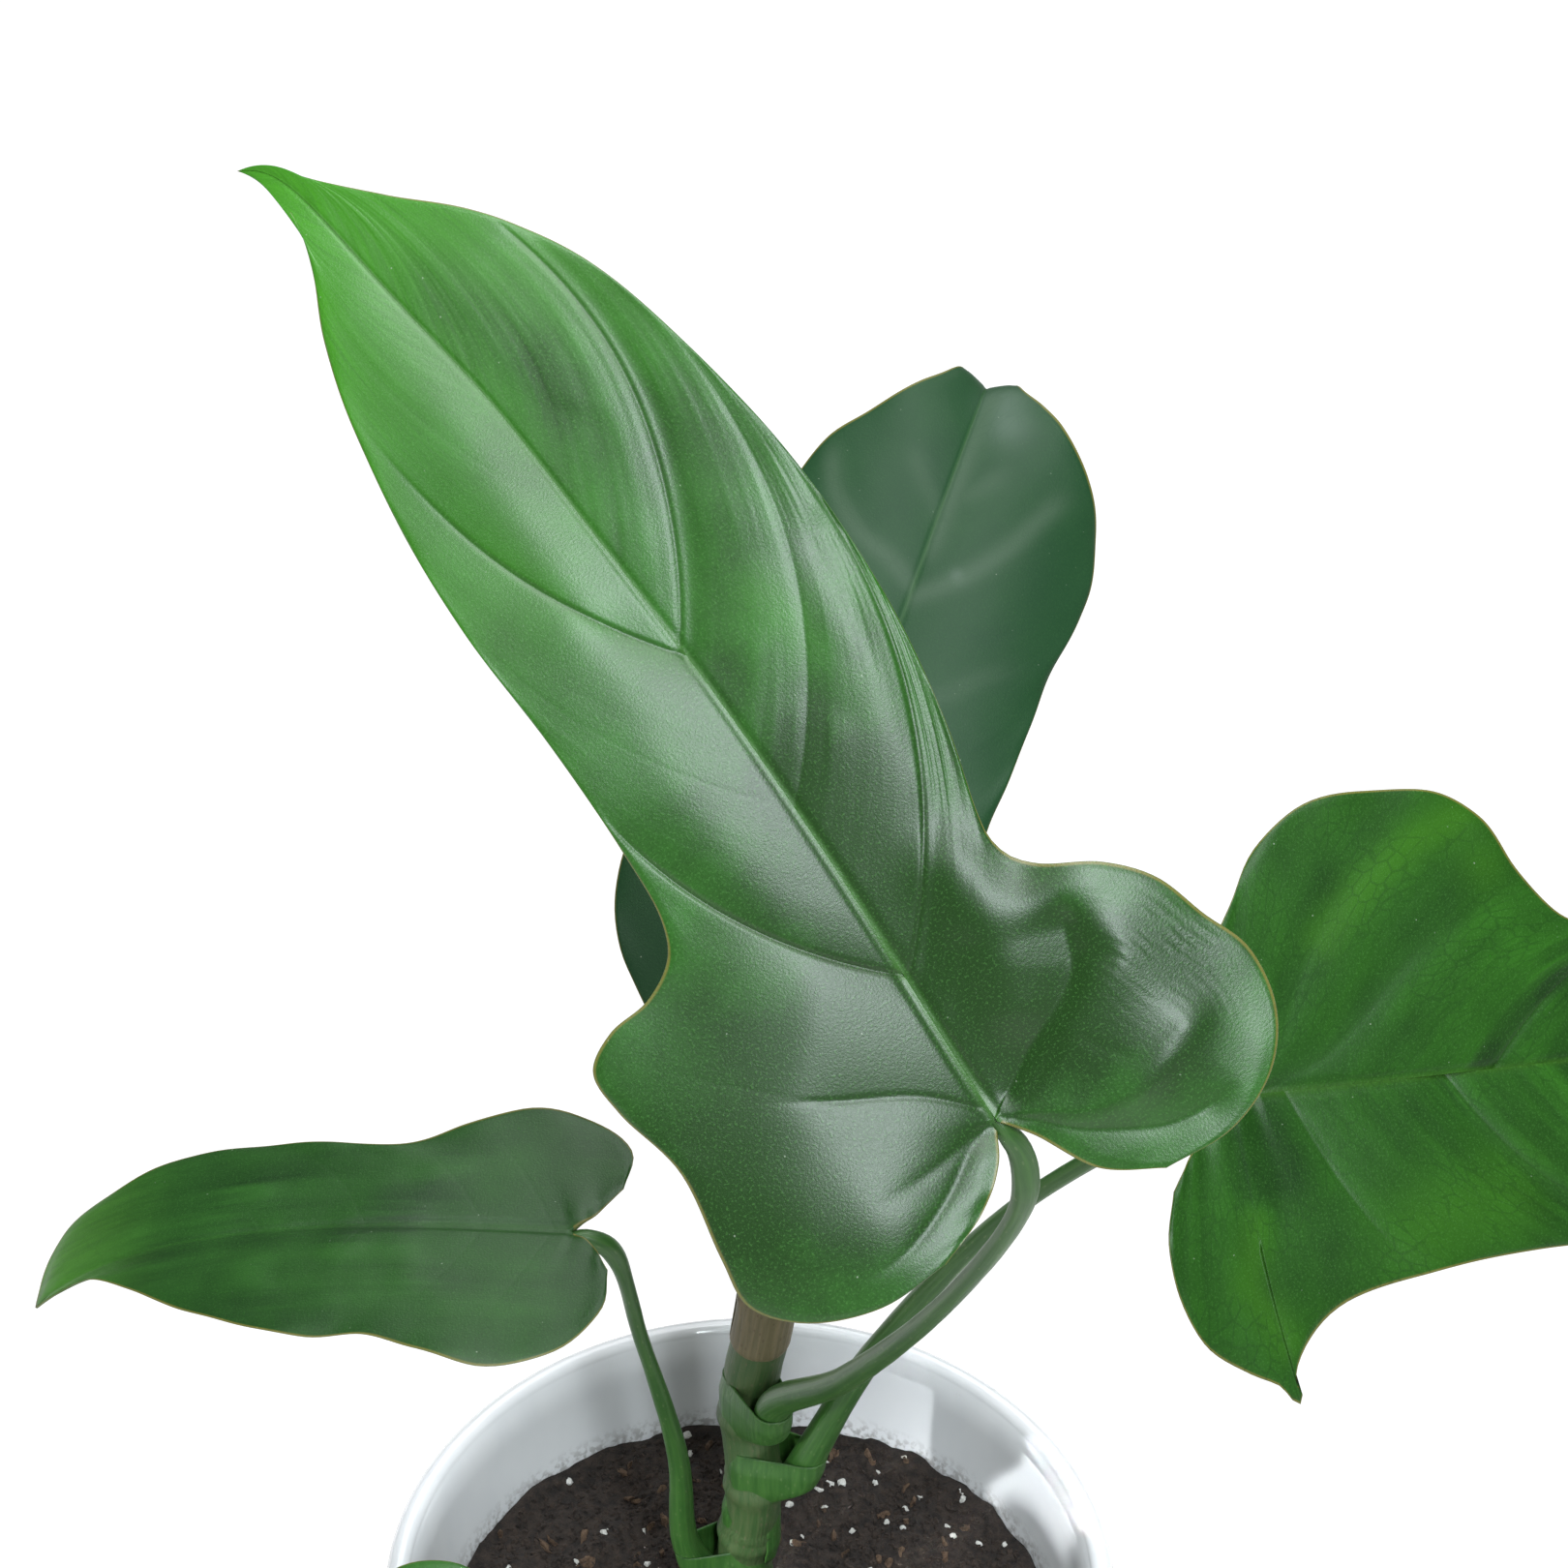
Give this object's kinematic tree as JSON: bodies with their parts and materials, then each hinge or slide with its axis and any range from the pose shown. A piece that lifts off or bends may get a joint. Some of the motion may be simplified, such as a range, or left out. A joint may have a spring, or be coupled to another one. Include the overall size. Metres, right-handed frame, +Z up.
{
  "type": "potted horsehead philodendron",
  "caption": "Young horsehead philodendron with lobed, glossy green leaves on arching petioles, rooted in dark soil in a plain round white pot; stands on its flat base.",
  "frame": {"origin": "middle of the pot's flat underside", "axes": "+Z up out of the soil, -Y towards the viewer whom the large leaf faces, +X to that viewer's right"},
  "size_m": [0.3562, 0.3046, 0.4417],
  "materials": {
    "pot": "smooth white glaze",
    "soil": "moist loose potting mix",
    "stem": "satin green bark",
    "petiole": "satin",
    "young_leaf": "satin",
    "leaf": "satin, paler and matt underneath"
  },
  "bodies": {
    "root": {"pot": "pot", "soil": "soil", "stem": "stem", "new_leaf": "young_leaf", "petiole_main": "petiole", "petiole_right": "petiole", "petiole_back": "petiole", "petiole_left": "petiole", "petiole_front": "petiole", "blade_main": "leaf", "blade_right": "leaf", "blade_back": "leaf", "blade_left": "leaf", "blade_front": "leaf"}
  },
  "joints": []
}
